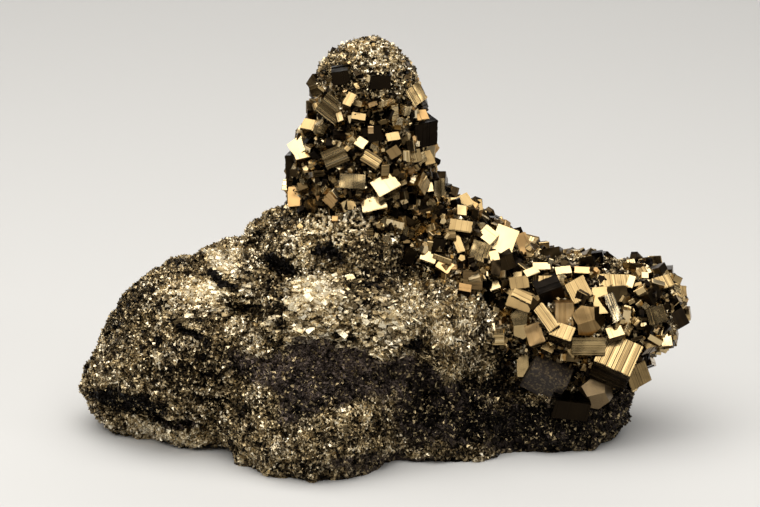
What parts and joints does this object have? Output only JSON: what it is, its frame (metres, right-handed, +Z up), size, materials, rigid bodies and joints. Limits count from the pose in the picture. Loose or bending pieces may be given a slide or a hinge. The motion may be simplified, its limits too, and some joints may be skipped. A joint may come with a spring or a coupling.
{
  "type": "pyrite specimen",
  "caption": "Natural pyrite specimen: a lumpy body with a blunt tower, a rounded left lobe and a right lobe crusted with flat-faced crystals, resting on its flat cut base",
  "frame": {"origin": "on the flat base, under the middle of the specimen's box", "axes": "X runs along the specimen's length, from the rounded left lobe to the crystal-covered right lobe, Y from its front to its back, Z up along the tower"},
  "size_m": [0.154, 0.0788, 0.1],
  "materials": {
    "pyrite": "natural brassy metallic crystal faces over a fine granular body"
  },
  "bodies": {
    "root": {"pyrite_specimen": "pyrite"}
  },
  "joints": []
}
